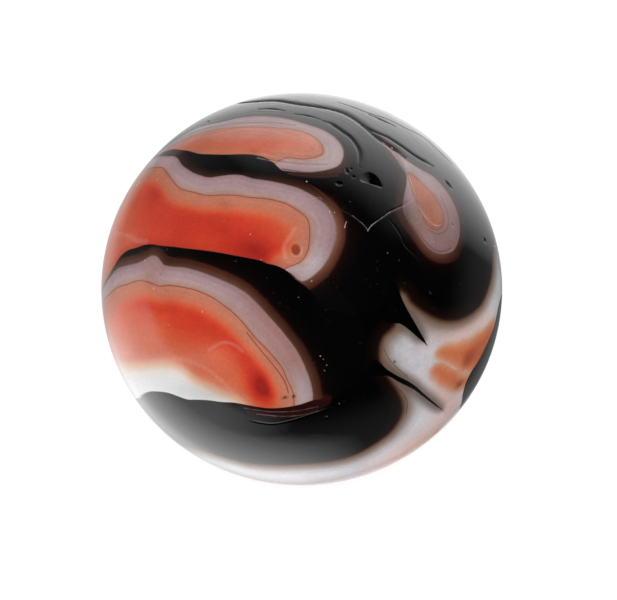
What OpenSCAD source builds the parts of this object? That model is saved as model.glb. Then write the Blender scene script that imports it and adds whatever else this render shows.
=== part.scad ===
// Glass playing marble: one solid ball of black glass with white and orange-red swirls.
// It is a little longer than it is wide, and its face has folds, furrows, pits and an open bubble.
// The origin is the centre of the ball, and its longest line runs along X.

/* [Ball] */
// Length of the ball along its longest line, in mm
ball_length = 16; // [13:0.1:25]
// Diameter of the ball across that line
ball_width = 15.7; // [13:0.1:25]

/* [Face] */
// How far the face that carries the marks leans back, from upright to straight up
face_tilt = 74; // [0:1:90]

/* [Folds] */
// Width of the cold folds, the sharp lines where the glass met itself
fold_width = 0.14; // [0.1:0.01:0.3]
// Depth of the cold folds
fold_depth = 0.04; // [0.02:0.005:0.06]

/* [Furrows] */
// Width of the soft furrows that run over the shoulder of the ball
furrow_width = 0.26; // [0.16:0.01:0.4]
// Depth of the furrows
furrow_depth = 0.035; // [0.02:0.005:0.06]

/* [Open bubble] */
// Width of the bubble that broke open at the surface
bubble_width = 0.46; // [0.3:0.02:0.8]
// Length of its mouth
bubble_length = 0.6; // [0.3:0.02:1]
// Depth of the hollow that it left
bubble_depth = 0.16; // [0.08:0.01:0.2]

/* [Chip] */
// Diameter of the round knock mark
chip_width = 0.9; // [0.5:0.05:1.5]
// Depth of the knock mark
chip_depth = 0.09; // [0.04:0.01:0.2]

/* [Pits] */
// Diameter of the larger pits
pit_width = 0.36; // [0.2:0.02:0.6]
// Depth of the larger pits
pit_depth = 0.08; // [0.04:0.01:0.15]
// Diameter of the pinholes
pinhole_width = 0.16; // [0.1:0.02:0.3]
// Depth of the pinholes
pinhole_depth = 0.05; // [0.03:0.01:0.1]

/* [Hidden] */
$fn = 96;

// How far the ends of a groove run out above the glass, so that it fades away
run_out = 0.02;
// Half length and half width of the ball
a = ball_length / 2;
b = ball_width / 2;

// Places on the face are [right, up] in degrees round the ball from the middle of the face.
bubble_at = [-1.7, 11.3];
chip_at = [21.5, 33.8];
pits_at = [[11.3, 31.8], [51.3, 37.8], [67.8, 18]];
pinholes_at = [[13.8, 36.5], [15.9, 34.5], [50, 21.3], [28.2, -22], [-5, -32.5], [7.6, -39.9], [-36.5, 65.5]];

// Each groove is an arc through three places, deepest at the middle one.
folds_at = [
    [[3, 31], [12, 23.4], [19.8, 17]],
    [[18.6, 17], [26, 22.8], [35, 28]],
    [[26, 25.5], [33, 12], [46, 4]],
    [[25, 9], [30, -3], [39, -18]]
];
furrows_at = [
    [[-27, 81], [-13, 74.3], [0, 68.6]],
    [[-4, 70.2], [13, 65.3], [25, 53.5]],
    [[17, 62.5], [25, 53.4], [35, 45]],
    [[24, 56.5], [37, 48.4], [49, 43.4]],
    [[9, 57.2], [17, 48.8], [18, 38]]
];

// Direction of a place on the face, with the middle of the face along +Z
function direction(place) =
    let (turn = norm(place), share = turn == 0 ? 0 : sin(turn) / turn)
    [place.x * share, place.y * share, cos(turn)];

// Point over a place on the face, at a height above the glass
function above(place, height) =
    let (
        d = direction(place),
        on_glass = d / sqrt(d.x * d.x / (a * a) + (d.y * d.y + d.z * d.z) / (b * b)),
        out = [on_glass.x / (a * a), on_glass.y / (b * b), on_glass.z / (b * b)]
    )
    on_glass + out / norm(out) * height;

// Radius of the round tool that leaves a hollow of this width and depth
function tool_radius(width, depth) = (width * width / 4 + depth * depth) / (2 * depth);

// Centre of the circle through three points
function circle_centre(p, q, r) =
    let (u = q - p, v = r - p, w = cross(u, v))
    p + (cross(w, u) * (v * v) + cross(v, w) * (u * u)) / (2 * (w * w));

function unit(v) = v / norm(v);

// The glass body, half an oval turned about X
module ball() {
    rotate([0, 90, 0])
        rotate_extrude()
            intersection() {
                scale([b, a])
                    circle(r = 1);
                translate([0, -a])
                    square([b, 2 * a]);
            }
}

// Round hollow in the glass at a place on the face
module pit(place, width, depth) {
    r = tool_radius(width, depth);
    translate(above(place, r - depth))
        sphere(r = r);
}

// Groove along the circle through three places, which fades out at both ends
module groove(places, width, depth) {
    r = tool_radius(width, depth);
    p = above(places[0], r + run_out);
    q = above(places[1], r - depth);
    s = above(places[2], r + run_out);
    centre = circle_centre(p, q, s);
    axis = unit(cross(q - p, s - p));
    start = unit(p - centre);
    side = cross(axis, start);
    sweep = atan2((s - centre) * side, (s - centre) * start);
    multmatrix([
        [start.x, side.x, axis.x, centre.x],
        [start.y, side.y, axis.y, centre.y],
        [start.z, side.z, axis.z, centre.z],
        [0, 0, 0, 1]
    ])
        rotate_extrude(angle = sweep < 0 ? sweep + 360 : sweep)
            translate([norm(p - centre), 0])
                circle(r = r, $fn = 24);
}

// Hollow of the bubble that opened, longer than wide
module open_bubble() {
    r = tool_radius(bubble_width, bubble_depth);
    translate(above(bubble_at, r - bubble_depth))
        scale([1, bubble_length / bubble_width, 1])
            sphere(r = r);
}

// Everything that the years and the mould left in the face of the ball
module marks() {
    open_bubble();
    pit(chip_at, chip_width, chip_depth);
    for (place = pits_at)
        pit(place, pit_width, pit_depth);
    for (place = pinholes_at)
        pit(place, pinhole_width, pinhole_depth);
    for (places = folds_at)
        groove(places, fold_width, fold_depth);
    for (places = furrows_at)
        groove(places, furrow_width, furrow_depth);
}

module marble() {
    color([0.05, 0.04, 0.04])
        difference() {
            ball();
            rotate([90 - face_tilt, 0, 0])
                marks();
        }
}

marble();
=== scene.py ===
"""Looks of the glass marble: black glass with fused white, lavender and orange-red swirls.

Places on the glass are (right, up) in degrees round the ball, counted from the middle of the face
that the camera sees. Places on the far side are counted from the point opposite, as seen from there.
Colours are written as 0 to 255 screen values.
"""
import math
import bmesh
import bpy
import numpy as np
from functools import partialmethod
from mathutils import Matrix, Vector


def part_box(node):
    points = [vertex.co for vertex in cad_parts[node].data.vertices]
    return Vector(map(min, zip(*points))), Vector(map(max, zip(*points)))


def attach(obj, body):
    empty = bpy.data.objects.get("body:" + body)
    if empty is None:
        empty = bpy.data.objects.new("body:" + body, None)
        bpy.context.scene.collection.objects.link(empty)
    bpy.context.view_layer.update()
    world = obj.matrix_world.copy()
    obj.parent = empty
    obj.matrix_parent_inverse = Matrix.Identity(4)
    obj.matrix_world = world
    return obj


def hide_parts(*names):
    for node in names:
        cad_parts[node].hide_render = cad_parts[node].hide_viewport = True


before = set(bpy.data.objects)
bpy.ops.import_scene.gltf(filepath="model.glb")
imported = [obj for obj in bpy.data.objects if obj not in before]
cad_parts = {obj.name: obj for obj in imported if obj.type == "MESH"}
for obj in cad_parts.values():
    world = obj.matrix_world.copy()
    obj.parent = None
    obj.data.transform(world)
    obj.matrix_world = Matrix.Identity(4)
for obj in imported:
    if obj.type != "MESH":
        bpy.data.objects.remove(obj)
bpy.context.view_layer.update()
low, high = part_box("marble")
HALF_LENGTH = (high.x - low.x) / 2
HALF_WIDTH = (high.y - low.y) / 2
MM = 0.001

# The face looks back and up by this angle, as in part.scad
FACE_TILT = math.radians(74)
FACE = np.array([0, -math.cos(FACE_TILT), math.sin(FACE_TILT)])
UP = np.array([0, math.sin(FACE_TILT), math.cos(FACE_TILT)])
RIGHT = np.array([1.0, 0, 0])

# The mesh: squares along an edge of the cube, how much they crowd towards the face, and how near to
# a mark, in degrees, each round of splitting reaches
SQUARES = 78
CROWDING = 0.5
SPLIT_REACHES = (1.5, 0.9)
# How far the hollows, the knock mark and the open bubble reach, in degrees
HOLLOW_REACH, CHIP_REACH, BUBBLE_REACH = 1.0, 4.2, 2.8
CHIP_MIDDLE = (21.3, 34)


# Places and lines on the glass

def direction(places, far=False):
    """Unit vectors for (right, up) places in degrees."""
    places = np.radians(np.atleast_2d(np.asarray(places, float)))
    turn = np.hypot(places[:, 0], places[:, 1])
    share = np.sinc(turn / math.pi)[:, None]
    side = -1 if far else 1
    return (places[:, :1] * share * RIGHT * side + places[:, 1:] * share * UP
            + np.cos(turn)[:, None] * FACE * side)


def place(directions, far=False):
    """(right, up) places in degrees for unit vectors."""
    side = -1 if far else 1
    turn = np.degrees(np.arccos(np.clip(directions @ FACE * side, -1, 1)))
    right = directions @ RIGHT * side
    up = directions @ UP
    flat = np.maximum(np.hypot(right, up), 1e-9)
    return np.stack([right / flat * turn, up / flat * turn], 1)


def smooth(points, closed=False, step=1.5):
    """A rounded line through given places, with a point about every step degrees."""
    p = np.asarray(points, float)
    if closed:
        p = np.vstack([p[-1:], p, p[:2]])
    else:
        p = np.vstack([2 * p[0] - p[1], p, 2 * p[-1] - p[-2]])
    line = []
    for a, b, c, d in zip(p, p[1:], p[2:], p[3:]):
        span = np.hypot(*(c - b))
        count = max(2, int(span / step))
        t = np.arange(count)[:, None] / count
        # Tangents no longer than the stretch itself keep tight turns from overshooting
        start = (c - a) / max(np.hypot(*(c - a)), 1e-9) * span
        end = (d - b) / max(np.hypot(*(d - b)), 1e-9) * span
        line.append((2 * t**3 - 3 * t**2 + 1) * b + (t**3 - 2 * t**2 + t) * start
                    + (3 * t**2 - 2 * t**3) * c + (t**3 - t**2) * end)
    if not closed:
        line.append(p[-2:-1])
    return np.vstack(line)


def distance(directions, line, closed=False, far=False):
    """Degrees from each direction to a line, measured to the two stretches at its nearest point."""
    points = direction(line, far)
    count = len(points)
    # In parts, so that the tables of cosines stay small
    parts = np.array_split(directions, 16)
    nearest = np.concatenate([np.argmax(part @ points.T, 1) for part in parts])
    best = np.full(len(directions), 9.0)
    for side in (-1, 0):
        first = nearest + side
        first = first % count if closed else np.clip(first, 0, max(count - 2, 0))
        start = points[first]
        step = points[(first + 1) % count] - start
        away = directions - start
        length = np.maximum(np.einsum("ij,ij->i", step, step), 1e-12)
        share = np.clip(np.einsum("ij,ij->i", away, step) / length, 0, 1)
        away = away - share[:, None] * step
        best = np.minimum(best, np.einsum("ij,ij->i", away, away))
    return np.degrees(2 * np.arcsin(np.clip(np.sqrt(best) / 2, 0, 1)))


def inside(places, line):
    """Whether each place lies within a closed line of places."""
    x, y = places.T
    result = np.zeros(len(places), bool)
    for (x0, y0), (x1, y1) in zip(line, np.roll(line, -1, 0)):
        if y0 != y1:
            crosses = (y0 > y) != (y1 > y)
            result ^= crosses & (x < (x1 - x0) * (y - y0) / (y1 - y0) + x0)
    return result


class Glass:
    """The ball's directions and places, and the fields of numbers painted over them."""

    def __init__(self, directions):
        self.directions = directions
        self.places = place(directions)
        self.far_places = place(directions, far=True)
        self.fields = {}

    def region(self, outline, far=False):
        """Degrees from the outline, above zero within it."""
        line = smooth(outline, closed=True)
        away = distance(self.directions, line, True, far)
        return np.where(inside(self.far_places if far else self.places, line), away, -away)

    def union(self, outlines):
        """The same for several outlines together."""
        return np.max([self.region(outline) for outline in outlines], 0)

    def line(self, points, step=0.7):
        return distance(self.directions, smooth(points, step=step))

    def strokes(self, rows):
        """Above zero within half width of a line, for the best of several (half width, points)."""
        return np.max([width - self.line(points) for width, points in rows], 0)

    def dots(self, rows):
        """Above zero within the radius of a dot, for the best of several (radius, place)."""
        return np.max([radius - distance(self.directions, [at, at]) for radius, at in rows], 0)

    def from_middle(self, middle, turn=0.0):
        """Degrees right and up of a middle, in a frame turned by this many degrees."""
        x, y = (self.places - np.array(middle)).T
        c, s = math.cos(math.radians(turn)), math.sin(math.radians(turn))
        return x * c + y * s, y * c - x * s

    def spots(self, rows):
        """A sum of soft oval spots, each as in SPOT_FIELDS."""
        total = np.zeros(len(self.directions))
        for amount, middle, reach, *turn in rows:
            right, up = self.from_middle(middle, *turn)
            total += amount * np.exp(-(right / reach[0]) ** 2 - (up / reach[1]) ** 2)
        return total


# Outlines of the swirls. Each has an edge against the black glass and a hairline further in. All but
# the right one have a cut, the crisp line where they dive under the black glass.

UPPER_EDGE = [
    (-60, 57), (-50, 60.5), (-40, 63), (-30, 62), (-22, 62.5), (-13, 61.5), (-5, 59), (1.5, 56), (7.5, 53),
    (12, 48.5), (13.7, 44), (12.5, 39), (10, 37), (5, 35.6), (0, 35.3), (-4, 35.8), (-10, 37), (-20, 39),
    (-30, 41), (-45, 45), (-60, 50), (-72, 56), (-74, 62), (-68, 62)]
UPPER_LINE = [
    (-60, 53.2), (-50, 56), (-40, 57.6), (-30, 57.2), (-17.5, 55.8), (-10, 54.5), (-3.5, 53.2), (1, 51.8),
    (4.5, 49), (6.5, 46.3), (6.9, 43.8), (5.8, 41.7), (3.3, 40.8), (0, 40.4), (-5, 41), (-10, 38.5),
    (-20, 39.5), (-35, 43), (-50, 48.5), (-62, 52)]
UPPER_CUT = [
    (-75, 60), (-61, 55.8), (-50, 53.7), (-44, 50.8), (-40, 49), (-35, 46.3), (-30, 45), (-25, 44),
    (-20, 43.5), (-16, 43), (-12, 41.7), (-9, 39.6), (-6.7, 37), (-3.5, 34.6), (0, 33.9), (6, 33.6),
    (12, 34.4), (20, 33), (26, 45), (15, 62), (-20, 72), (-60, 70), (-78, 66)]

MIDDLE_EDGE = [
    (-60, 54), (-54.5, 52), (-50, 50), (-46, 48.3), (-43.3, 46), (-41, 43), (-38, 40.5), (-35, 38.3),
    (-30, 36), (-25, 36), (-21.5, 36), (-18, 35.4), (-15, 34), (-10, 33), (-5, 31.7), (0, 30), (3.3, 28),
    (6, 26), (8, 24), (9.5, 21.3), (10.2, 18), (10, 14.5), (9, 11.7), (7.7, 8.8), (6.2, 6.3), (4.2, 4.2),
    (2, 2.5), (0, 1.9), (-1.7, 2.9), (-3.3, 4.3), (-6, 4.5), (-14, 1), (-30, 3), (-50, 5), (-66, 2),
    (-80, -4), (-100, -8), (-116, 2), (-120, 22), (-112, 42), (-96, 54), (-76, 58)]
MIDDLE_LINE = [
    (-60, 47.5), (-55, 46), (-51, 44.5), (-48.3, 42), (-46, 39.6), (-43.3, 36.7), (-41, 34), (-38.3, 32.2),
    (-34.6, 31), (-30, 29.4), (-20, 28.4), (-15, 27.4), (-10, 26.7), (-5, 25.4), (-2.5, 23.8), (0, 22),
    (1.7, 20), (2.3, 17), (2.1, 13.3), (1.5, 10.4), (0, 8), (-1.7, 7), (-5, 5.5), (-8, 2), (-14, 1),
    (-30, 3), (-50, 5), (-66, 2), (-80, 0), (-100, -2), (-111, 6), (-113, 22), (-106, 38), (-92, 49),
    (-76, 51)]
MIDDLE_CUT = [
    (1.5, 0.5), (0, 1.7), (-1.7, 2.8), (-3.3, 4.6), (-5, 5.8), (-7.5, 6.9), (-10, 7.5), (-11.7, 8.3),
    (-15, 9), (-20, 10), (-25, 11), (-30, 11.8), (-35, 12.5), (-40, 13.3), (-44, 13.8), (-48.3, 14.6),
    (-51.7, 14.8), (-55, 14.2), (-61, 13.5), (-65, 11.7), (-70, 7.9), (-76, 3.8), (-84, 0), (-100, -3),
    (-126, 0), (-130, 30), (-110, 60), (-60, 66), (0, 60), (30, 30), (24, -4), (8, -6)]

LOWER_EDGE = [
    (-86, -2), (-80, 1), (-74, 3.5), (-70, 5.8), (-66.7, 7.3), (-60, 8.5), (-55, 9), (-52, 9.6),
    (-48.3, 11), (-46, 10.5), (-44.6, 9.2), (-43, 7.6), (-40, 7), (-35.8, 6.7), (-30, 5.2), (-25, 3.3),
    (-20, 1.3), (-16.3, -0.8), (-13.3, -3.3), (-10, -6.7), (-6.7, -10.4), (-3.3, -14.6), (-0.8, -18.3),
    (0.9, -21.7), (2.5, -25.8), (3.3, -30), (3.4, -34), (1, -40), (-10, -43), (-30, -42), (-50, -43),
    (-70, -54), (-90, -58), (-112, -46), (-120, -26), (-108, -10)]
LOWER_LINE = [
    (-84, -6), (-74, -2.5), (-65, 0.8), (-60, 1.5), (-56, 2.5), (-51.7, 2.7), (-48.3, 1.9), (-45, 0.8),
    (-41, 1), (-35, 0.2), (-30, -1), (-25, -3.3), (-20, -6.7), (-16, -10.8), (-13.3, -14.2), (-10, -17.5),
    (-7.5, -20.4), (-5.4, -23.3), (-4.2, -26.7), (-2.9, -30), (-2.3, -34), (-4, -41), (-12, -43),
    (-30, -42), (-50, -43), (-70, -54), (-90, -57), (-108, -44), (-114, -26), (-102, -12)]
LOWER_CUT = [
    (12, -32), (3.3, -33.5), (0, -34.8), (-5, -36), (-10, -36.5), (-15.8, -35.9), (-21, -35.2),
    (-25, -35.4), (-30, -35.3), (-35, -35.8), (-37.5, -36.2), (-40, -35.8), (-45, -35), (-50, -35.5),
    (-54.6, -36.7), (-58.5, -38.6), (-62, -41), (-66, -43.8), (-72, -47), (-80, -50.5), (-94, -58),
    (-130, -50), (-132, -20), (-110, 0), (-90, 10), (-60, 22), (-20, 16), (10, 0), (20, -20)]

RIGHT_EDGE = [
    (27, 51), (31, 47.5), (35, 44), (40, 41), (45, 39.2), (48.3, 36.3), (51.7, 31.7), (53, 28), (53.8, 24),
    (53.4, 19.6), (52, 15.8), (49.5, 12.5), (46.5, 11.3), (43, 11), (40, 12), (37.5, 14.3), (35, 17.9),
    (32, 21.7), (31, 24.5), (31.5, 28), (33, 33), (33.8, 37.5), (32.2, 41.5), (29.5, 46)]
RIGHT_LINE = [
    (35, 38.5), (37.5, 37), (40, 34.5), (42.5, 32), (44.5, 29.5), (46, 26.3), (46.4, 23.2), (45.6, 20.6),
    (43.8, 19.2), (41.5, 19.2), (39.4, 20.6), (37.8, 23.3), (36.9, 27), (35.6, 31), (34.8, 34.6),
    (34.4, 37)]

# The white glass at the right and along the bottom, and the black glass that lies over it
WHITE_EDGE = [
    (29.5, -0.5), (32.5, -3.8), (36.3, -6.6), (40, -8.6), (44.2, -10), (50, -10.3), (55, -9.3), (60, -7.2),
    (63.3, -5), (66.2, -1.4), (68.8, 2.2), (70.4, 5.6), (72.6, 10.8), (75, 15), (80, 20), (90, 26),
    (104, 28), (116, 16), (118, -6), (112, -30), (104, -54), (84, -82), (56, -104), (20, -118),
    (-20, -116), (-52, -100), (-70, -80), (-64, -70), (-50, -64.5), (-40, -62), (-30, -62), (-20, -63.3),
    (-10, -62.5), (0, -61.5), (10, -60.5), (18, -58.3), (24, -54.3), (27.5, -51.5), (30, -49), (32, -45.4),
    (33.3, -41), (32.5, -36.3), (30, -31.5), (26, -26), (23.5, -21.5), (23.2, -17.5), (24.3, -14),
    (27.5, -11), (29, -6)]
BLACK_SPIKE = [
    (22, 8), (27, 3), (30, -3.3), (31.7, -6.3), (34.2, -10), (37, -14.2), (39.3, -17.7), (38.3, -16.9),
    (35.4, -14.7), (32.5, -12.4), (29.3, -10.3), (24, -9)]
BLACK_RIM = [
    (79, -6), (75, -15), (71.7, -19.2), (68.3, -23.8), (65.4, -27.5), (62.5, -30.5), (60.8, -35),
    (61.5, -40.4), (63.3, -44), (65.8, -50), (74, -52), (84, -44), (92, -28), (92, -10), (86, -2)]
BLACK_THREAD = [
    (21, -21), (26, -24.4), (30, -27), (33.3, -28.8), (36.7, -31.2), (40, -34.2), (44, -37.6),
    (47.5, -40.6), (51, -43.6), (53.4, -45.7), (54.4, -46.6), (53.4, -45.8), (51, -43.9), (47.3, -41.2),
    (43.7, -38.4), (40, -35.4), (36.5, -32.6), (33, -30.5), (30, -28.8), (26, -26.4), (21, -25.6)]

# Swirls that the photo doesn't show: two over the top, at the back, and two on the far side
TOP_EDGE = [
    (-50, 112), (-30, 102), (-8, 99), (16, 101), (34, 107), (40, 116), (28, 124), (6, 119), (-16, 124),
    (-38, 128)]
FAR_UPPER_EDGE = [
    (-36, 22), (-20, 34), (2, 36), (22, 30), (34, 16), (28, 3), (14, 2), (0, 9), (-14, 5), (-30, 8)]
FAR_LOWER_EDGE = [
    (-44, -22), (-36, -9), (-22, -5), (-8, -9), (8, -6), (24, -13), (30, -28), (16, -38), (-8, -34),
    (-28, -36)]
BACK_EDGE = [
    (32, 88), (44, 82), (58, 77), (71, 71), (86, 70), (92, 81), (80, 90), (62, 93), (49, 98), (36, 97)]
# How wide their rings are, and how far out from them nothing is cut off
HIDDEN_RING, HIDDEN_REACH = 5.5, 15
# Nothing is cut off near the middle of the right swirl
RIGHT_MIDDLE, RIGHT_REACH = [(42, 26), (42, 27)], 26

# The pale pocket that folds into the right swirl from the left
POCKET = [
    (32.7, 22.4), (34.2, 20.4), (36.2, 20.6), (37.4, 22.4), (37.5, 24.6), (36.6, 27.3), (35.2, 27.2),
    (33.6, 25.4)]
# The half-moon knock mark: its round top edge and its flat foot
CHIP_TOP = [(17.6, 33.4), (18.6, 35.6), (20.8, 36.8), (23, 36), (24.4, 34.2), (25.3, 31.4)]
CHIP = CHIP_TOP + [(23.2, 31.7), (20.4, 32.7)]

# Thin lines as (half width, places)
VEINS = [
    (0.16, [(-16, -12.5), (-12.5, -17), (-8.5, -22), (-5.2, -27), (-4, -31)]),
    (0.2, [(-6, 36.9), (0, 35.7), (6, 35.3), (12, 36)]),
    (0.25, [(-4, 35.2), (0, 34.6), (6, 34.1), (11, 34.6)]),
    (0.1, [(-15, 42.4), (-8, 40), (0, 38.7), (8, 38.6)]),
    (0.1, [(-52, 59.2), (-44, 60.6), (-34, 60.4), (-24, 60.3)]),
    (0.14, [(-56, 56.8), (-46, 59.3), (-36, 59.8), (-22, 58.8), (-10, 57), (-2, 55.3)]),
    (0.3, [
        (-44, 10.6), (-38, 9), (-30, 7.6), (-25, 5.9), (-20, 3.7), (-15, 0.6), (-10, -4.4), (-5, -10),
        (-2, -14), (1, -19)]),
    (0.12, [(32.6, 21.6), (35.6, 17.9), (38, 14.9), (41, 12.5), (44.5, 11.9), (48, 13.2)]),
    (0.12, [(46.6, 31.5), (48.2, 27), (48.4, 22.6), (46.6, 19), (43, 17.6), (39.6, 18.8)]),
    (0.12, [(24.4, -17.6), (26, -20.6), (29.6, -24.4), (33, -27.2)]),
    (0.14, [(34.8, -42), (34.4, -37), (31.8, -32.6), (29, -30.2)])]
# Light threads of dust, and painted glints along the V fold's right arm and the right swirl's fold
THREADS_AND_GLINTS = [
    (0.14, [(36.9, 26.9), (38.3, 23.8), (40, 22), (42.4, 20.4), (44.6, 20.6)]),
    (0.1, [(34.4, 38.5), (35.5, 34), (36.3, 29)]),
    (0.06, [
        (19.3, 17.1), (20.6, 18.8), (24.6, 21.9), (27, 23.6), (30, 25.2), (32, 26.3), (34.2, 27.9),
        (36, 29.4)]),
    (0.16, [(75.8, 17.1), (79.6, 17.6)]),
    (0.2, [(-65, 40.2), (-63.2, 42.4)]),
    (0.14, [(-51.7, 38.5), (-51, 39.6)]),
    (0.05, [(2.9, 26.3), (4, 27), (5.4, 27.1), (6, 26.6)]),
    (0.13, [(13.1, 19.8), (12.7, 18.8), (12.5, 17.9)])]
CREASES = [
    (0.3, [(-74, 22), (-66, 20), (-60, 18.3), (-56.5, 16.6), (-51, 15.6)]),
    (0.05, [(-28, -18.4), (-26, -17), (-23, -15.7), (-20, -16.3), (-17.4, -18.2)]),
    (0.2, [(-46, -23.5), (-38, -22), (-31, -23.5), (-25, -27.5), (-20, -33)]),
    (0.2, [(-2, 17.5), (-3.4, 15), (-5, 12.4), (-4.6, 9)])]
# Painted glints: thin light lines painted where folds and swirl edges catch the light
PAINTED_GLINTS = [
    (0.12, [(0, 50), (3, 48.5), (5, 46), (4.2, 43.8)]),
    (0.03, [(-18, -37), (-10, -37.8), (-2, -37.4), (5, -35.8)]),
    (0.05, [(-14, -38.9), (-6, -39.4), (0, -38.8), (5, -37.4)]),
    (0.12, [(-14, 41.4), (-6, 38.9), (0, 37.8), (8, 37.8)]),
    (0.1, [(-13, 43), (-5, 40.3), (2, 39.5), (8, 39.8)]),
    (0.1, [(-58, 57.8), (-48, 60.6), (-38, 61.4), (-20, 60.4), (-8, 59), (2, 55.6)]),
    (0.14, [(33, 22.6), (34.2, 20.4), (36.2, 20.6), (37.4, 22.4), (37.5, 24.6), (36.6, 27.3)]),
    (0.02, [(15, 21.7), (18, 19.2), (19.6, 17.1)]),
    (0.12, [(44.5, -22.4), (48, -24.6), (52.5, -27.2)])]
# White specks, by radius
SPECK_SIZES = [
    (0.4, [(-29.6, -6.7)]),
    (0.35, [(1.5, 32.4), (-51.3, 9.4), (-47.1, 0.3), (31, 48.4)]),
    (0.3, [(8.1, 22.7), (-15, 16), (-11.7, 8.4), (2.8, 2.3), (-43.5, -0.6)]),
    (0.25, [(9.6, 22.5), (25.3, 10.7), (-25.5, 1.4), (-41.5, -11.1), (-56, 23.3), (5.4, -19.4),
            (57, -19.5), (11.5, -35)]),
    (0.22, [(-22, 1.9), (-49, -16.2)]),
    (0.2, [(6.3, -20.4), (7.3, -22.2), (6.7, -23.9), (41.7, 14.9), (51.7, 1.9), (-0.9, -2.3), (29, 8.6),
           (-23.2, 20.4), (-40.3, -33)])]
SPECKS = [(radius, at) for radius, places in SPECK_SIZES for at in places]

# Folds, where the glass met itself, and furrows over the shoulder: (width and depth in mm, places)
FOLDS = [
    (0.07, 0.012, [(1.5, 32.4), (5.8, 29.2), (10, 24.8), (15, 21.7), (18, 19.2), (19.6, 17.3)]),
    (0.08, 0.03, [
        (19.2, 17.3), (21.7, 19.8), (24.6, 21.9), (27, 23.6), (30, 25.2), (32, 26.3), (34.2, 27.9),
        (36, 29.4)]),
    (0.08, 0.012, [
        (25.4, 22.1), (28, 19), (30, 15.8), (31, 13.3), (34.2, 10.4), (36.7, 8.3), (39, 5.8), (41.7, 4.6),
        (45, 4), (47.5, 4.2)]),
    (0.07, 0.012, [(25, 9.2), (27.5, 4.2), (29.6, -0.4), (31, -4), (34, -9)]),
    (0.08, 0.02, [(-18, -41.4), (-10, -42.5), (-5, -41.5), (3.5, -38.4), (10, -35.9)])]
FURROWS = [
    (0.3, 0.07, [
        (-27, 80.5), (-22.5, 77.5), (-17.5, 75.6), (-13, 74.6), (-9, 73.3), (-4, 70.6), (-0.8, 69.2),
        (3.5, 68), (7.5, 67), (11.7, 65.8), (15, 64.4), (17.5, 62.5), (20, 59.8), (22.5, 56.7),
        (25.4, 52.7), (28.3, 50), (31, 48), (35, 45)]),
    (0.2, 0.05, [(22, 57.5), (26, 54.8), (30, 53.2), (35, 49.8), (40, 46.3), (46.7, 43.8)]),
    (0.15, 0.03, [(-16, 67), (-11, 66), (-6, 64)]),
    (0.14, 0.03, [(-2.5, 61.8), (2, 60.6), (6.5, 58.8)]),
    (0.2, 0.05, [(7.5, 58), (10, 56.7), (13.8, 53), (16.3, 50.4), (18, 47), (18.8, 44), (18.4, 38.5)]),
    (0.18, 0.04, [(25.5, 65.6), (30, 63.5), (35, 61.3)]),
    (0.1, 0.015, [(14, 72.5), (26, 66.6), (33.3, 65.4), (40, 62.5), (48.3, 60.8), (55, 54.2), (60, 50.5)]),
    (0.16, 0.04, [(29.5, 48), (31.5, 45), (33.2, 41), (34.5, 37.5)])]
GROOVES = FOLDS + FURROWS
# Hollows as (place, width in mm, depth in mm, length over width, turn)
HOLLOWS = [
    ((11.3, 31.9), 0.3, 0.06, 0.7), ((52, 37), 0.26, 0.05, 2.4, 40), ((67.8, 18), 0.24, 0.04, 1.3),
    ((13.9, 36.5), 0.14, 0.05, 2.4, 10), ((15.9, 34.5), 0.14, 0.05), ((15.3, 37.3), 0.12, 0.04),
    ((50, 21.3), 0.14, 0.04), ((28.2, -22), 0.12, 0.04), ((-5, -32.6), 0.18, 0.05),
    ((-2.4, -32.2), 0.14, 0.05, 1.2, -40), ((7.6, -39.9), 0.14, 0.03), ((-36.5, 65.5), 0.18, 0.04, 0.6),
    ((34.2, -45.4), 0.12, 0.03), ((-44.8, 5.4), 0.22, 0.03, 1.4)]
# The open bubble: a shallow dish with a deeper hole. Its lip has a painted highlight, brightest
# at the lower right, and its hole painted shade. The radii are in degrees.
BUBBLE_AT, BUBBLE_TOP, PAINTED_HIGHLIGHT_AT = (-1.7, 11.2), (-1.8, 11.8), (-0.5, 9.7)
BUBBLE = [(BUBBLE_AT, 0.5, 0.03, 1.25, 20), (BUBBLE_AT, 0.35, 0.14, 1.35, 25)]
HOLE_RADIUS, LIP_RADIUS = 1.2, 1.8
# Depth of the knock mark in mm, and degrees over which it slopes down and its rim is rounded
CHIP_DEPTH, CHIP_SLOPE, CHIP_RIM = 0.13, 3.4, 0.4
# Degrees over which the ends of a groove fade out, and degrees of rough glass beside a furrow for
# each mm of its width
GROOVE_FADE, ROUGH_REACH = 3, 2.4
# Share of their radius at which the specks are painted
SPECK_SIZE = 0.62

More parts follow.
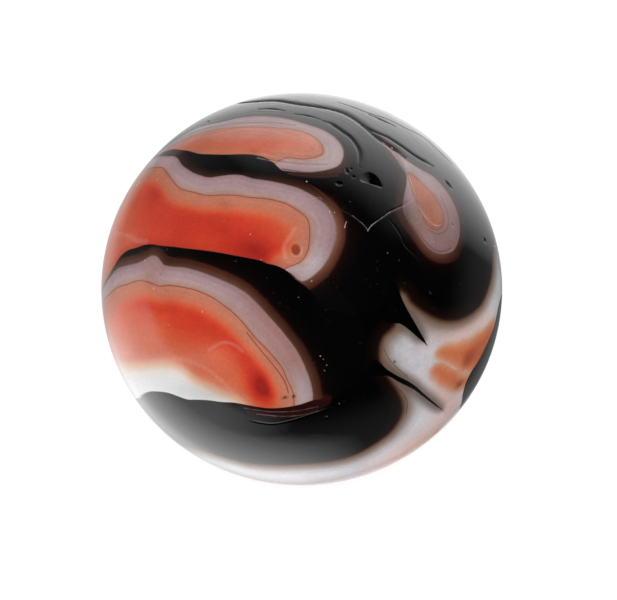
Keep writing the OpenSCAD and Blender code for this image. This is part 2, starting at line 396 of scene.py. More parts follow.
# Fields made of soft spots: the value where no spot is, the limits, and the spots as
# (amount, middle, (reach right, reach up), turn in degrees where it has one)
SPOT_FIELDS = {
    # How warm the cores are: orange at 0.4, dark red at 1
    "warmth": (0.38, 0, 3, [
        (0.44, (-36, 21), (31, 19), -12), (0.36, (-12, 10), (9, 5), -20),
        (0.28, (-33, -9.5), (14, 9), -15), (0.32, (-16, -19), (9, 5), -62),
        (0.62, (-11.5, -30), (4.8, 6), 15), (0.18, (-50, 35), (8, 6)), (0.26, (-49, -3), (11, 4)),
        (0.1, (-64, -10), (14, 10)), (0.1, (-12, 48), (16, 6)), (0.11, (-32, -11), (26, 13), -25),
        (0.12, (41, 25), (8, 12), 20), (0.06, (-10, 17), (8, 6)), (0.3, (59, -24.5), (5, 4), 40)]),
    # Where the rings turn milky white, and where rosy
    "milk": (0, 0, 1, [
        (0.8, (4, 6), (6, 6), 40), (0.5, (1.5, -30), (4, 7), 10), (0.6, (10, 42), (7, 8)),
        (0.35, (-50, 61), (20, 6)), (0.5, (36, 41), (5, 5), -40)]),
    "rose": (0, 0, 1, [
        (0.7, (-8, -12), (5, 16), 33), (0.7, (35, 19), (6, 7), -40), (0.4, (44, 14), (8, 4)),
        (0.2, (9, 15), (4, 9)), (0.55, (50, 26), (5, 13)), (0.5, (-48, 6), (6, 4)),
        (0.4, (-2, -23), (4, 6))]),
    # Where the cores turn pale and pink: the glass's own paler colour, and near the left rim a painted
    # sheen that stands for the light the rim catches
    "pale": (0, 0, 1, [
        (0.32, (-90, 26), (15, 22)), (0.25, (-90, -12), (16, 15)), (0.4, (-74, -25), (16, 5)),
        (0.06, (-25, -19), (7, 4), -20), (0.25, (-38, -23), (12, 3), 10), (0.22, (-28, 54), (36, 5), -5),
        (0.15, (-62, 17), (8, 4)), (0.15, (4, 46), (4, 4))]),
    # Where the black glass is combed into fine ripples
    "combed": (0, 0, 1, [
        (1.0, (0, 72), (60, 12)), (0.4, (40, 56), (24, 14), -40), (0.7, (16, 46), (6, 12), 10)]),
    # How clear the hairlines are
    "hair": (0.75, 0, 1, [(-0.6, (-25, 57), (30, 8), -3), (-0.35, (42, 28), (10, 14))]),
    # How strong the fine strata are
    "strata": (0.06, 0, 1, [(0.1, (-20, 57), (50, 8), -4), (0.05, (8, 40), (8, 6))]),
    # How soft the edges are
    "softness": (1, 1, 9, [
        (4, (42, 26), (9, 12), 20), (3, (-63, -42), (7, 4)), (3.5, (70, -30), (10, 18))]),
    # How strong the brown halo beside a swirl is
    "halo": (0.3, 0, 1, [
        (0.8, (12, 12), (9, 17)), (0.6, (36, 13), (12, 8), -35), (0.35, (-20, 6), (30, 10), -30),
        (-0.3, (0, 50), (40, 12)), (-0.25, (-15, 38), (22, 4), -8), (0.3, (8, -25), (8, 14)),
        (0.4, (-62, 12), (14, 6))]),
    # How much darker the glass is made: in part its own darker tone and smudges, in part painted
    # shade in the pits; below zero it is painted light that brightens places near the left and right
    # rims and along the bottom
    "shade": (0, -0.35, 1, [
        (0.36, (43, 21), (15, 18)), (0.7, (56.8, -34.2), (2, 1.4), 20), (0.1, (-20, 56), (40, 10)),
        (0.1, (-10, -5), (14, 12), -45), (0.12, (0, -22), (6, 12), 15), (0.08, (6, 15), (8, 14)),
        (0.22, (-30, -33), (13, 4)), (0.16, (-73, -34), (8, 6)), (0.25, (36.5, 38.5), (4, 3)),
        (-0.15, (-50, 47), (6, 4)), (-0.18, (-66, -12), (14, 12)), (-0.2, (-76, 26), (10, 14)),
        (0.12, (-5, -37), (14, 2)), (-0.3, (64, -8), (16, 8), 25), (-0.32, (36, -63), (26, 10), 35),
        (-0.25, (-12, -70), (40, 8)), (0.14, (33, -21), (9, 9)), (0.18, (41, -38), (5, 3), -40),
        (0.3, (32, 24), (2, 5)), (0.15, (53.5, 24), (2, 8)), (0.1, (1, -31), (4, 4)),
        (0.16, (33, 22), (4, 5)), (0.25, (-50, 59), (9, 4), 10), (0.2, (-23, 25.8), (1.8, 1.1)),
        (0.26, (-15.4, 44.2), (1.5, 0.9)), (0.7, (-5, -32.7), (0.9, 0.5), 20),
        (0.7, (-2.4, -32.3), (0.7, 0.5), 40), (0.8, (28.2, -22), (0.4, 0.4)),
        (0.12, (-8, 35.5), (14, 2), -8), (0.1, (52, 24), (5, 9))]),
    # Where the white glass turns pink
    "blush": (0, 0, 1, [
        (0.6, (58, -13), (20, 4), 10), (0.8, (50, -38), (12, 5), -40), (1.0, (46, -62), (26, 10), 40),
        (0.6, (0, -84), (60, 8))])}
# The tips of the spike and the thread, where the brown margin beside them fades
TIPS = [(2.5, (54, -46.5), (4, 4)), (2.2, (39.3, -17.7), (3, 3))]
# The orange patches in the white glass: two at the right and one underneath. A fainter one at the
# lower right reaches this many degrees less.
PATCHES = [
    [(43, -20.5), (46, -18.3), (52, -17.5), (60, -16.2), (68, -13.5), (75, -11.5), (82, -14), (82, -24),
     (70, -29.4), (64, -31.4), (60, -30.5), (56, -28.8), (52, -26.6), (47, -23.8)],
    [(41.8, -26), (45, -24), (49, -25.5), (53, -27.7), (58, -30), (63, -32), (63, -36), (58, -37.5),
     (54, -37), (50, -34.5), (46, -31.5), (43, -29)],
    [(-30, -100), (-10, -94), (20, -94), (50, -90), (60, -96), (40, -108), (0, -112)]]
CORNER_FAINTNESS = 4.8
CORNER_PATCH = [(48, -57), (54, -51), (62, -52), (64, -58), (54, -68), (46, -74), (43, -68)]
# The snow-white foot of the lower swirl
SNOW_EDGE = [
    (-86, -33), (-70, -29.5), (-60, -27.8), (-52.5, -25.6), (-45, -24.5), (-38, -25.6), (-34, -28.5),
    (-25, -32), (-18, -36), (-20, -42), (-45, -46), (-64, -54), (-90, -70), (-110, -50)]
# The dark red glass under its right end
UNDER_EDGE = [(-20, -34), (-8, -35), (4, -32), (9, -33), (5, -37), (-2, -39.3), (-10, -40), (-17, -38.2)]


# The mesh

def cube_ball():
    """Unit vectors and corner lists of a cube blown up into a ball, crowded towards the face."""
    n = SQUARES
    side = np.arange(n + 1)
    u, v = np.meshgrid(side, side, indexing="ij")
    corners = []
    quads = []
    # The six sides of the cube: which axes they span, which they cross, and where
    sides = [((0, 1, 2), n), ((1, 2, 0), n), ((2, 0, 1), n),
             ((1, 0, 2), 0), ((2, 1, 0), 0), ((0, 2, 1), 0)]
    for axes, height in sides:
        grid = np.zeros((n + 1, n + 1, 3), int)
        for axis, values in zip(axes, (u, v, height)):
            grid[..., axis] = values
        number = np.arange((n + 1) ** 2).reshape(n + 1, n + 1) + len(corners) * (n + 1) ** 2
        corners.append(grid.reshape(-1, 3))
        around = [number[:-1, :-1], number[1:, :-1], number[1:, 1:], number[:-1, 1:]]
        quads.append(np.stack(around, -1).reshape(-1, 4))
    unique, index = np.unique(np.vstack(corners), axis=0, return_inverse=True)
    flat = np.tan((unique / n * 2 - 1) * math.pi / 4)
    flat /= np.linalg.norm(flat, axis=1)[:, None]
    turn = np.arccos(np.clip(flat[:, 2], -1, 1))
    crowded = turn - CROWDING * np.sin(turn)
    across = np.sin(crowded) / np.maximum(np.hypot(flat[:, 0], flat[:, 1]), 1e-12)
    local = np.stack([flat[:, 0] * across, flat[:, 1] * across, np.cos(crowded)], 1)
    return local @ np.array([RIGHT, UP, FACE]), index.reshape(-1)[np.vstack(quads)]


def fine_marks(directions):
    """Degrees to the nearest mark that needs small faces."""
    glass = Glass(directions)
    lines = [points for *_, points in GROOVES + VEINS + THREADS_AND_GLINTS + PAINTED_GLINTS]
    lines += [points + points[:1] for points in (BLACK_SPIKE, BLACK_THREAD)]
    nearest = np.min([glass.line(points) for points in lines], 0)
    spots = [(HOLLOW_REACH, at) for at, *_ in HOLLOWS] + SPECKS
    spots += [(CHIP_REACH, CHIP_MIDDLE), (BUBBLE_REACH, BUBBLE_AT)]
    return np.minimum(nearest, -glass.dots(spots))


def split_near_marks(directions, quads):
    """Splits the squares near the marks in two each way, twice."""
    mesh = bpy.data.meshes.new("swirled_ball")
    mesh.from_pydata(directions.tolist(), [], quads.tolist())
    grown = bmesh.new()
    grown.from_mesh(mesh)
    for reach in SPLIT_REACHES:
        centres = np.array([face.calc_center_median() for face in grown.faces])
        centres /= np.linalg.norm(centres, axis=1)[:, None]
        close = fine_marks(centres) < reach
        edges = {edge for face, near in zip(grown.faces, close) if near for edge in face.edges}
        in_order = sorted(edges, key=lambda edge: edge.index)
        bmesh.ops.subdivide_edges(grown, edges=in_order, cuts=1, use_grid_fill=True)
        for corner in grown.verts:
            corner.co.normalize()
    grown.to_mesh(mesh)
    grown.free()
    return mesh


def hollow(glass, at, width, depth, stretch=1.0, turn=0.0):
    """A round or oval hollow of this width and depth in mm."""
    reach = math.degrees(width * MM / 2 / HALF_WIDTH)
    right, up = glass.from_middle(at, turn)
    out = np.hypot(right / reach, up / (reach * stretch))
    return -depth * MM * np.clip(1 - out**2, 0, 1)


def groove(glass, width, depth, points):
    """A groove along a line, in mm, that fades out at both ends."""
    line = smooth(points, step=0.5)
    reach = math.degrees(width * MM / 2 / HALF_WIDTH)
    ends = np.minimum(distance(glass.directions, line[:2]), distance(glass.directions, line[-2:]))
    away = distance(glass.directions, line)
    return -depth * MM * np.exp(-1.5 * (away / reach) ** 2) * np.clip(ends / GROOVE_FADE, 0, 1)


def chip(glass):
    """The knock mark, which slopes down from its round top edge and ends in a step at its foot."""
    from_top = distance(glass.directions, smooth(CHIP_TOP))
    from_rim = np.clip(glass.region(CHIP) / CHIP_RIM, 0, 1)
    return -CHIP_DEPTH * MM * np.clip(from_top / CHIP_SLOPE, 0, 1) * from_rim


def relief(glass):
    """Height of the glass above the true ball, in metres."""
    height = chip(glass)
    for row in HOLLOWS + BUBBLE:
        height += hollow(glass, *row)
    for width, depth, points in GROOVES:
        height += groove(glass, width, depth, points)
    return height


def numbers_of(collection, name, kind, width=1):
    values = np.zeros(len(collection) * width, kind)
    collection.foreach_get(name, values)
    return values.reshape(-1, width) if width > 1 else values


def new_object(name, data):
    made = bpy.data.objects.new(name, data)
    bpy.context.scene.collection.objects.link(made)
    return made


def make_marble():
    mesh = split_near_marks(*cube_ball())
    directions = numbers_of(mesh.vertices, "co", np.float32, 3).astype(float)
    directions /= np.linalg.norm(directions, axis=1)[:, None]
    glass = Glass(directions)
    out = 1 / np.sqrt((directions[:, 0] / HALF_LENGTH) ** 2
                      + (directions[:, 1] ** 2 + directions[:, 2] ** 2) / HALF_WIDTH ** 2)
    points = directions * (out + relief(glass))[:, None]
    mesh.vertices.foreach_set("co", points.astype(np.float32).ravel())
    mesh.update()
    mesh.shade_smooth()
    paint(glass)
    for name, values in glass.fields.items():
        attribute = mesh.attributes.new(name, "FLOAT", "POINT")
        attribute.data.foreach_set("value", values.astype(np.float32))
    add_map(mesh, glass)
    return new_object("swirled_ball", mesh)


def add_map(mesh, glass):
    """Two round maps in one square: the face, and the smaller far side."""
    face_radius, far_radius, border = 0.4, 0.185, 0.005
    # Degrees from the middle of the face at which the maps part, and how far each runs on
    split, margin = 95.0, 2.0
    loops = numbers_of(mesh.loops, "vertex_index", np.int32)
    sizes = numbers_of(mesh.polygons, "loop_total", np.int32)
    owner = np.repeat(np.arange(len(sizes)), sizes)
    turn = np.degrees(np.arccos(np.clip(glass.directions @ FACE, -1, 1)))
    far = np.bincount(owner, turn[loops]) / sizes > split
    flat = glass.places / np.maximum(np.hypot(*glass.places.T), 1e-9)[:, None]
    face_map = flat * (turn / (split + margin))[:, None] * face_radius + face_radius + border
    far_turn = (180 - turn) / (180 - split + margin)
    far_map = flat * far_turn[:, None] * far_radius + 1 - border - far_radius
    uv = np.where(far[owner][:, None], far_map[loops], face_map[loops])
    mesh.uv_layers.new(name="OFBake").uv.foreach_set("vector", uv.astype(np.float32).ravel())


# Fields of colour

def paint(glass):
    """Works out the fields that the glass's material reads.

    The swirls are in two families, so that where they lie side by side each keeps its own edge.
    """
    fields = glass.fields
    hidden = np.maximum(glass.union([TOP_EDGE, BACK_EDGE]), glass.region(FAR_UPPER_EDGE, far=True))
    families = {
        "first": ([MIDDLE_EDGE, RIGHT_EDGE], [MIDDLE_LINE, RIGHT_LINE], [MIDDLE_CUT], hidden),
        "second": ([UPPER_EDGE, LOWER_EDGE], [UPPER_LINE, LOWER_LINE], [UPPER_CUT, LOWER_CUT],
                   glass.region(FAR_LOWER_EDGE, far=True))}
    for name, (edges, lines, cuts, unseen) in families.items():
        fields[name + "_edge"] = np.maximum(glass.union(edges), unseen)
        fields[name + "_line"] = np.maximum(glass.union(lines), unseen - HIDDEN_RING)
        fields[name + "_cut"] = np.maximum(glass.union(cuts), unseen + HIDDEN_REACH)
    right_side = RIGHT_REACH - distance(glass.directions, RIGHT_MIDDLE)
    fields["first_cut"] = np.maximum(fields["first_cut"], right_side)
    regions = {"white_edge": [WHITE_EDGE], "ink": [BLACK_SPIKE, BLACK_RIM, BLACK_THREAD], "patch": PATCHES,
               "pocket": [POCKET], "snow": [SNOW_EDGE], "under": [UNDER_EDGE]}
    for name, outlines in regions.items():
        fields[name] = glass.union(outlines)
    fields["patch"] = np.maximum(fields["patch"], glass.region(CORNER_PATCH) - CORNER_FAINTNESS)
    fields["margin"] = glass.union([BLACK_SPIKE, BLACK_THREAD]) - glass.spots(TIPS)
    for name, (base, least, most, spots) in SPOT_FIELDS.items():
        fields[name] = np.clip(base + glass.spots(spots), least, most)
    strokes = {"crease": CREASES, "vein": VEINS, "painted_glint": PAINTED_GLINTS, "thread": THREADS_AND_GLINTS}
    for name, lines in strokes.items():
        fields[name] = glass.strokes(lines)
    # The white specks of dust join the dust threads and the painted fold glints
    specks = [(radius * SPECK_SIZE, at) for radius, at in SPECKS]
    fields["thread"] = np.maximum(fields["thread"], glass.dots(specks))
    fields["furrow"] = glass.strokes([(width * ROUGH_REACH, points) for width, _, points in FURROWS])
    # Painted highlight on the bubble's lip, brightest at lower right, and painted shade in its hole
    from_bubble = distance(glass.directions, [BUBBLE_AT, BUBBLE_TOP])
    from_painted_highlight = distance(glass.directions, [PAINTED_HIGHLIGHT_AT, PAINTED_HIGHLIGHT_AT])
    fields["bubble"] = 0.25 - np.abs(from_bubble - LIP_RADIUS) - 0.12 * from_painted_highlight
    fields["bubble_hole_shade"] = HOLE_RADIUS - from_bubble


def linear(colour):
    """A 0 to 255 screen colour as the linear colour that Blender takes."""
    share = np.array(colour, float) / 255
    values = np.where(share <= 0.04045, share / 12.92, ((share + 0.055) / 1.055) ** 2.4)
    return (*values.tolist(), 1.0)


class Material:
    """A material that is made node by node."""

    def __init__(self, name):
        self.material = bpy.data.materials.new(name)
        self.material.use_nodes = True
        self.tree = self.material.node_tree
        self.tree.nodes.clear()
        self.read = {}

    def node(self, kind, inputs=(), **settings):
        """A node. Its inputs are given values, sockets or names of fields."""
        made = self.tree.nodes.new(kind)
        for name, value in settings.items():
            setattr(made, name, value)
        for socket, value in dict(inputs).items():
            if isinstance(value, str):
                value = self.field(value)
            if isinstance(value, bpy.types.NodeSocket):
                self.tree.links.new(value, made.inputs[socket])
            else:
                made.inputs[socket].default_value = value
        return made

    def field(self, name):
        if name not in self.read:
            self.read[name] = self.node("ShaderNodeAttribute", attribute_name=name).outputs["Fac"]
        return self.read[name]

    def math(self, operation, *values):
        return self.node("ShaderNodeMath", dict(enumerate(values)), operation=operation).outputs[0]

    plus = partialmethod(math, "ADD")
    minus = partialmethod(math, "SUBTRACT")
    times = partialmethod(math, "MULTIPLY")
    over = partialmethod(math, "DIVIDE")
    larger = partialmethod(math, "MAXIMUM")

    def step(self, value, start, end, low=0.0, high=1.0, shape="SMOOTHSTEP"):
        """A step from low at start to high at end."""
        return self.node("ShaderNodeMapRange", {0: value, 1: start, 2: end, 3: low, 4: high},
                         interpolation_type=shape).outputs[0]

    def ramp(self, value, stops):
        """Colours at positions along value, in value's own units."""
        first, last = stops[0][0], stops[-1][0]
        share = self.node("ShaderNodeMapRange", {0: value, 1: first, 2: last}).outputs[0]
        made = self.node("ShaderNodeValToRGB", {0: share})
        elements = made.color_ramp.elements
        elements.remove(elements[1])
        for number, (position, colour) in enumerate(stops):
            at = (position - first) / (last - first)
            element = elements[0] if number == 0 else elements.new(at)
            element.position = at
            element.color = linear(colour)
        return made.outputs[0]

    def mix(self, share, below, above, blend="MIX"):
        """One colour laid over another. Each is a socket or a 0 to 255 colour."""
        values = {0: share, 6: linear(below) if isinstance(below, tuple) else below,
                  7: linear(above) if isinstance(above, tuple) else above}
        return self.node("ShaderNodeMix", values, data_type="RGBA", blend_type=blend).outputs[2]

    def noise(self, vector, scale, detail=2.0):
        settings = {"Vector": vector, "Scale": scale, "Detail": detail}
        return self.node("ShaderNodeTexNoise", settings).outputs["Fac"]

    def wave(self, vector, scale, detail, swing, flat=0.2):
        """Noise that swings this far to both sides of zero."""
        return self.step(self.noise(vector, scale, detail), flat, 1 - flat, -swing, swing)


# Colours along the fields: those of edges, the white glass, patches and snow in degrees, those of
# rings from 0 at the edge to 1 at the hairline, and those of cores by their warmth
BLACK = (3, 3, 3)
HALO = [
    (-8, BLACK), (-4.8, (12, 5, 4)), (-3.3, (20, 9, 8)), (-2.7, (34, 16, 12)), (-2.2, (78, 40, 31)),
    (-1.3, (100, 56, 43)), (-0.4, (118, 76, 60)), (0.2, (126, 94, 84))]
RING = [
    (0, (132, 98, 92)), (0.07, (150, 122, 124)), (0.3, (168, 138, 143)), (0.65, (176, 148, 150)),
    (0.88, (178, 140, 130)), (1.0, (168, 116, 98))]
MILK_RING = [
    (0, (150, 122, 110)), (0.12, (180, 162, 160)), (0.45, (188, 176, 178)), (0.8, (186, 166, 160)),
    (1.0, (178, 132, 112))]
CORE = [
    (0, (182, 116, 97)), (0.12, (192, 120, 97)), (0.25, (195, 115, 89)), (0.4, (203, 107, 79)),
    (0.55, (208, 92, 61)), (0.7, (205, 70, 45)), (0.8, (197, 57, 40)), (0.9, (184, 49, 37)),
    (1.0, (158, 38, 32))]
WHITE = [
    (-5, BLACK), (-3, (12, 6, 5)), (-1, (22, 11, 9)), (-0.4, (46, 27, 20)), (0.3, (92, 66, 53)),
    (1.2, (122, 98, 86)), (2.7, (142, 128, 120)), (3.8, (160, 152, 150)), (5.2, (182, 179, 182)),
    (8, (200, 198, 204))]
ROSE = (160, 112, 104)
PATCH = [(-2.5, (200, 180, 170)), (-0.5, (196, 152, 128)), (1.5, (196, 116, 80)), (4, (188, 94, 58))]
SNOW = [
    (-5, (214, 112, 84)), (-2, (214, 134, 106)), (0, (222, 176, 148)), (2.2, (226, 216, 208)),
    (5, (226, 226, 226))]
PINK = (228, 150, 134)
HAIRLINE = (112, 66, 50)
MARGIN = (98, 80, 70)
DARK_RED = (38, 13, 13)
BLUSH = (206, 166, 156)
EMBER = (160, 72, 46)
DUST = (190, 180, 176)
# Small marks as (field, where they begin, where they are full, strength, colour, patchy in places)
MARKS = [
    ("pocket", -0.8, 0.8, 0.6, (170, 136, 120), False),
    ("crease", -0.9, 0.3, 0.24, (226, 170, 150), False),
    # Painted shade in the bubble's hole
    ("bubble_hole_shade", -0.4, 0.5, 0.8, (150, 60, 38), False),
    ("vein", -0.12, 0.1, 0.65, (70, 36, 28), False),
    # Painted glints along folds and swirl edges
    ("painted_glint", -0.25, 0.2, 0.34, (222, 196, 184), True),
    # Threads and specks of dust, with painted glints along folds
    ("thread", -0.1, 0.1, 0.8, (226, 210, 200), True),
    # Painted highlight on the bubble's lip
    ("bubble", -0.3, 0.15, 0.42, (222, 190, 176), True)]
# Height of the ripples in the glass, in mm
RIPPLE = 0.02
# Noise is read in coordinates in which the ball spans about -1 to 1
NOISE_SCALE = 125


def streaks(mat, value, spot, amount):
    """Fine strata that run along lines of equal value, as a factor within amount of 1."""
    split = mat.node("ShaderNodeSeparateXYZ", {0: spot}).outputs
    across = mat.times(value, 1.7)
    vector = mat.node("ShaderNodeCombineXYZ", {0: across, 1: split[0], 2: split[1]}).outputs[0]
    return mat.math("MULTIPLY_ADD", mat.wave(vector, 1.0, 3.0, 1.0, 0.25), amount, 1.0)


def swirl(mat, name, below, spot):
    """Paints one family of swirls over the colour below."""
    wave = mat.wave(spot, 3.0, 3.0, 0.25)
    edge = mat.plus(name + "_edge", wave)
    line = mat.plus(name + "_line", wave)
    cut = name + "_cut"
    # The ring between the edge and the hairline
    share = mat.over(edge, mat.larger(mat.minus(edge, line), 0.01))
    ring = mat.mix("rose", mat.ramp(share, RING), ROSE)
    ring = mat.mix("milk", ring, mat.ramp(share, MILK_RING))
    # The core within the hairline, which warms up from its rim
    depth = mat.step(line, 0.6, 7.2)
    heat = mat.plus("warmth", mat.wave(spot, 2.2, 4.0, 0.07))
    warm = mat.plus(0.1, mat.times(depth, mat.minus(heat, 0.1)))
    # Paler and pinker where the pale field says; near the left rim this is a painted sheen
    core = mat.mix("pale", mat.ramp(warm, CORE), PINK)
    if name == "second":
        snow = mat.plus("snow", wave)
        core = mat.mix(mat.step(snow, -5, -0.5), core, mat.ramp(snow, SNOW))
    else:
        core = mat.mix(mat.step(cut, 0, 3, 0.35, 0.0), core, CORE[-1][1])
    body = mat.mix(mat.step(mat.over(line, "softness"), -0.2, 0.2), ring, core)
    amount = mat.times("strata", mat.step(line, 1, 4, 1.0, 0.3))
    body = mat.mix(1.0, body, streaks(mat, name + "_edge", spot, amount), "MULTIPLY")
    hair = mat.step(mat.math("ABSOLUTE", line), 0.04, 0.22, 1.0, 0.0)
    body = mat.mix(mat.times(hair, "hair"), body, HAIRLINE)
    # Black glass hides what lies beyond the cut, and a halo glows in it outside the edge
    inside_cut = mat.step(mat.over(cut, "softness"), -0.2, 0.15)
    halo = mat.times("halo", inside_cut)
    glow = mat.mix(halo, below, mat.ramp(edge, HALO), "ADD")
    return mat.mix(mat.times(inside_cut, mat.step(edge, -0.05, 0.35)), glow, body)


def white_glass(mat, spot):
    """The black glass with the white glass in it, its patches, its margins and the ink over it."""
    white = mat.plus("white_edge", mat.wave(spot, 3.0, 3.0, 0.2))
    blush = mat.times("blush", mat.step(white, 1.5, 4))
    colour = mat.mix(blush, mat.ramp(white, WHITE), BLUSH)
    patch = mat.plus("patch", mat.wave(spot, 4.0, 3.0, 0.8))
    ember = mat.mix(mat.step("warmth", 0.45, 0.7), mat.ramp(patch, PATCH), EMBER)
    patched = mat.times(mat.step(patch, -2.5, 0.5), mat.step(white, 1, 5))
    colour = mat.mix(patched, colour, ember)
    colour = mat.mix(mat.step(white, -5, -4), BLACK, colour)
    margin = mat.step("margin", -3.4, -0.3, 0.0, 0.85)
    colour = mat.mix(mat.times(margin, mat.step(white, 0, 2)), colour, MARGIN)
    ink = mat.over("ink", "softness")
    colour = mat.mix(mat.step(ink, -0.12, 0.12), colour, BLACK)
    return mat.mix(mat.step("under", -0.8, 0.5), colour, DARK_RED)


def small_marks(mat, colour, spot):
    """Lays the marks, painted glints, highlight and shade, and a little dust over the colour."""
    # Noise that leaves the painted glints, the painted lip highlight and the threads patchy in places
    patchy = mat.step(mat.noise(spot, 22.0), 0.4, 0.6, 0.35, 1.0)
    for name, start, end, strength, paint_colour, is_patchy in MARKS:
        share = mat.step(name, start, end, 0.0, strength)
        if is_patchy:
            share = mat.times(patchy, share)
        colour = mat.mix(share, colour, paint_colour)
    dust = mat.step(mat.noise(spot, 55.0, 3.0), 0.69, 0.76, 0.0, 0.05)
    return mat.mix(dust, colour, DUST)


def swirled_glass():
    mat = Material("swirled_glass")
    on_ball = mat.node("ShaderNodeTexCoord").outputs["Object"]
    spot = mat.node("ShaderNodeVectorMath", {0: on_ball, 1: (NOISE_SCALE,) * 3}, operation="MULTIPLY")
    spot = spot.outputs[0]
    colour = white_glass(mat, spot)
    colour = swirl(mat, "second", colour, spot)
    colour = swirl(mat, "first", colour, spot)
    colour = small_marks(mat, colour, spot)
    # Faint mottle, less of it in the snow, and the darkening, which holds painted shade and painted light
    mottle = mat.plus(mat.wave(spot, 7.0, 5.0, 0.07, 0.25), mat.wave(spot, 60.0, 2.0, 0.05, 0.25))
    mottle = mat.times(mottle, mat.step("snow", -4, 0, 1.0, 0.35))
    dark = mat.minus(mat.plus(1.0, mottle), "shade")
    grey = mat.node("ShaderNodeCombineColor", {0: dark, 1: dark, 2: dark}).outputs[0]
    colour = mat.mix(1.0, colour, grey, "MULTIPLY")
    # Glossy all over, and rougher in the furrows and on the threads
    rough = mat.step(mat.noise(spot, 5.0, 4.0), 0.3, 0.7, 0.05, 0.09)
    rough = mat.larger(rough, mat.step("furrow", -0.25, 0.15, 0.0, 0.6))
    rough = mat.larger(rough, mat.step("thread", -0.1, 0.1, 0.0, 0.5))
    # Low ripples, combed along the swirls near the top
    combed = streaks(mat, "second_edge", spot, mat.times("combed", 0.5))
    height = mat.plus(mat.noise(spot, 14.0, 4.0), combed)
    ripple = mat.node("ShaderNodeBump", {"Height": height, "Strength": 0.3, "Distance": RIPPLE * MM})
    surface = mat.node("ShaderNodeBsdfPrincipled", {
        "Base Color": colour, "Roughness": rough, "IOR": 1.5, "Normal": ripple.outputs[0]})
    mat.node("ShaderNodeOutputMaterial", {"Surface": surface.outputs[0]})
    return mat.material


# Studio

FLOOR_RADIUS = 0.6
WALL_HEIGHT = 0.08
# Colour and glow of the floor where it is seen, and its colour as it lights the marble
FLOOR_SEEN, FLOOR_GLOW, FLOOR_PLAIN = (0.4, 0.4, 0.4, 1), 0.72, (0.9, 0.9, 0.9, 1)
CAMERA_DISTANCE = 0.3
SENSOR = 36.0
PHOTO_WIDTH = 617
PIXELS_PER_METRE = 25050
# The middle of the marble in the photo, in pixels right of and above the frame's middle
MARBLE_OFFSET = (-6.75, 10.8)
LAMP_DISTANCE, LAMP_SIZE, LAMP_STRENGTH = 1.2, 0.2, 0.5
SKY_STRENGTH = 0.55
# Round outlines in the studio have this many corners
CORNERS = 96
# The tent is a drum with a hole in its bottom, where the marble stands
TENT_RADIUS = 0.025
TENT_TOP = 0.034
TENT_HOLE = 0.0004
TENT_FOOT = -HALF_WIDTH + 0.0002


def aim(thing, away):
    """Puts a camera or lamp this far before the face, aimed at it."""
    thing.location = Vector(FACE) * away
    thing.rotation_euler = Vector(FACE).to_track_quat("Z", "Y").to_euler()


def add_camera():
    data = bpy.data.cameras.new("camera")
    data.sensor_width = SENSOR
    data.lens = PIXELS_PER_METRE * CAMERA_DISTANCE * SENSOR / PHOTO_WIDTH
    data.shift_x = -MARBLE_OFFSET[0] / PHOTO_WIDTH
    data.shift_y = -MARBLE_OFFSET[1] / PHOTO_WIDTH
    camera = new_object("camera", data)
    aim(camera, CAMERA_DISTANCE)
    bpy.context.scene.camera = camera


def mesh_object(name, points, faces, material):
    mesh = bpy.data.meshes.new(name)
    mesh.from_pydata(points, [], faces)
    mesh.materials.append(material)
    made = new_object(name, mesh)
    return made


def ring_points(radius, height):
    turns = [2 * math.pi * i / CORNERS for i in range(CORNERS)]
    return [(radius * math.cos(t), radius * math.sin(t), height) for t in turns]


def band(first, second):
    """Faces between two rings of points that start at these numbers."""
    steps = [(i, (i + 1) % CORNERS) for i in range(CORNERS)]
    return [(first + i, first + j, second + j, second + i) for i, j in steps]


def add_floor():
    """A round floor with a low wall. Where it is seen, it glows a little, so that it is white."""
    mat = Material("floor_white")
    path = mat.node("ShaderNodeLightPath").outputs
    seen = mat.larger(path["Is Camera Ray"], path["Is Glossy Ray"])
    seen = mat.larger(seen, path["Is Transmission Ray"])
    lit = mat.node("ShaderNodeBsdfDiffuse", {"Color": FLOOR_SEEN})
    glow = mat.node("ShaderNodeEmission", {"Color": (1, 1, 1, 1), "Strength": FLOOR_GLOW})
    white = mat.node("ShaderNodeAddShader", {0: lit.outputs[0], 1: glow.outputs[0]})
    plain = mat.node("ShaderNodeBsdfDiffuse", {"Color": FLOOR_PLAIN})
    surface = mat.node("ShaderNodeMixShader", {0: seen, 1: plain.outputs[0], 2: white.outputs[0]})
    mat.node("ShaderNodeOutputMaterial", {"Surface": surface.outputs[0]})
    foot = ring_points(FLOOR_RADIUS, -HALF_WIDTH)
    mesh_object("floor", foot, [list(range(CORNERS))], mat.material)
    top = ring_points(FLOOR_RADIUS, WALL_HEIGHT)
    mesh_object("backdrop", foot + top, band(0, CORNERS), mat.material)


def add_lamp():
    """A square soft lamp. Strength 1 lights a facing surface to its own colour."""
    data = bpy.data.lights.new("front_light", "AREA")
    data.size = LAMP_SIZE
    data.energy = LAMP_STRENGTH * math.pi ** 2 * LAMP_DISTANCE ** 2
    lamp = new_object("front_light", data)
    aim(lamp, LAMP_DISTANCE)
    lamp.visible_glossy = False
    lamp.visible_camera = False


def add_sky():
    """Even light from all round, black in the gloss, where the tent takes its place."""
    world = bpy.data.worlds.new("studio")
    world.use_nodes = True
    nodes, links = world.node_tree.nodes, world.node_tree.links
    path = nodes.new("ShaderNodeLightPath")
    amount = nodes.new("ShaderNodeMapRange")
    amount.inputs["To Min"].default_value = SKY_STRENGTH
    amount.inputs["To Max"].default_value = 0
    links.new(path.outputs["Is Glossy Ray"], amount.inputs["Value"])
    nodes["Background"].inputs["Color"].default_value = (1, 1, 1, 1)
    links.new(amount.outputs["Result"], nodes["Background"].inputs["Strength"])
    bpy.context.scene.world = world


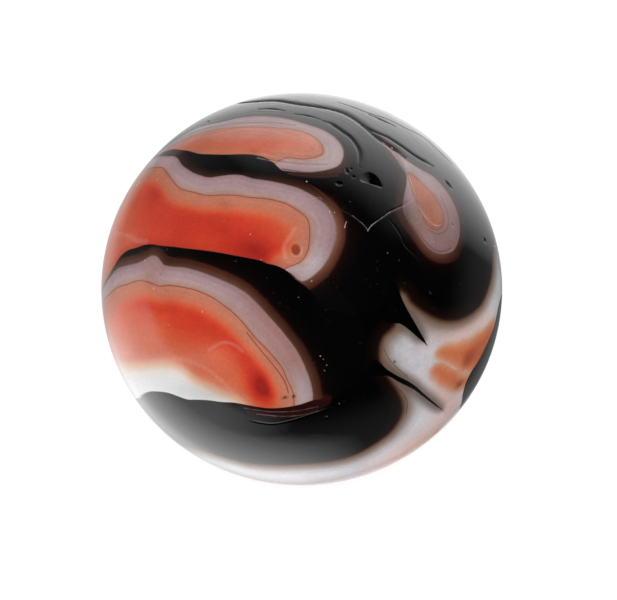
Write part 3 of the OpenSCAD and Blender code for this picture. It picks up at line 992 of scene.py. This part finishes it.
def add_tent():
    """A tent that only the marble's gloss shows, with bright cloth behind and at the front left."""
    mat = Material("tent_cloth")
    on_cloth = mat.node("ShaderNodeTexCoord").outputs["Object"]
    x, y, z = mat.node("ShaderNodeSeparateXYZ", {0: on_cloth}).outputs
    radius = mat.math("SQRT", mat.plus(mat.times(x, x), mat.times(y, y)))
    # Degrees above the middle of the marble
    climb = mat.math("DEGREES", mat.math("ARCTAN2", z, radius))

    def toward(turn):
        """1 straight towards this turn from the right-hand side, -1 straight away from it."""
        a = math.radians(turn)
        part = mat.plus(mat.times(x, math.cos(a)), mat.times(y, math.sin(a)))
        return mat.over(part, radius)

    def patch(turn, edge, middle, high, low, light, shape="SMOOTHSTEP"):
        """Cloth that is lit round this turn, more and more from one climb down to another."""
        across = mat.step(toward(turn), edge, middle, shape=shape)
        return mat.times(across, mat.step(climb, high, low, 0.0, light))

    # Behind and a little to the right, brightest level with the marble, and wider low down.
    # The rest of the cloth is dim, and dark above the marble except at the left.
    wide = mat.step(toward(75), 0.46, 1.0, shape="LINEAR")
    narrow = mat.step(toward(68), 0.59, 0.97, shape="LINEAR")
    share = mat.step(climb, -28, -5)
    back = mat.math("MULTIPLY_ADD", share, mat.minus(narrow, wide), wide)
    low_or_left = mat.larger(mat.step(climb, 14, -10), mat.step(toward(125), 0.5, 0.9))
    dim = mat.times(mat.step(climb, -26, -35, 0.06, 0.16), low_or_left)
    back = mat.larger(back, dim)
    back = mat.times(back, mat.step(climb, -40, -12, 1.3, 2.1))
    back = mat.times(back, mat.step(climb, 6, 52, 1.0, 0.0))
    # At the front left, from the middle of the marble down, and at the left on the ground only
    upper = patch(-145, 0.6, 0.93, 9, -1, 1.1, "LINEAR")
    front = mat.larger(patch(-130, 0.35, 0.95, -1, -26, 1.8), upper)
    front = mat.times(front, mat.step(climb, -45, -34, 0.5, 1.0))
    front = mat.larger(front, patch(165, 0.1, 0.85, -17, -29, 0.6))
    # All round, the cloth glows near the ground, least at the right and most in front
    near = mat.plus(mat.step(toward(35), 0.3, 0.98, 0.72, 0.2), mat.step(toward(-80), 0.3, 0.9, 0.0, 0.35))
    foot = mat.times(mat.step(climb, -34, -48), near)
    light = mat.larger(mat.larger(back, foot), front)
    glow = mat.node("ShaderNodeEmission", {"Color": (1, 1, 1, 1), "Strength": light}).outputs[0]
    mat.node("ShaderNodeOutputMaterial", {"Surface": glow})
    points = ring_points(TENT_HOLE, TENT_FOOT) + ring_points(TENT_RADIUS, TENT_FOOT)
    points += ring_points(TENT_RADIUS, TENT_TOP)
    tent = mesh_object("tent", points, band(0, CORNERS) + band(CORNERS, 2 * CORNERS), mat.material)
    tent.visible_camera = False
    tent.visible_diffuse = False
    tent.visible_shadow = False
    tent.visible_transmission = False


marble = make_marble()
marble.data.materials.append(swirled_glass())
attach(marble, "root")
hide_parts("marble")

add_camera()
add_floor()
add_lamp()
add_tent()
add_sky()
bpy.context.scene.view_settings.view_transform = "Standard"
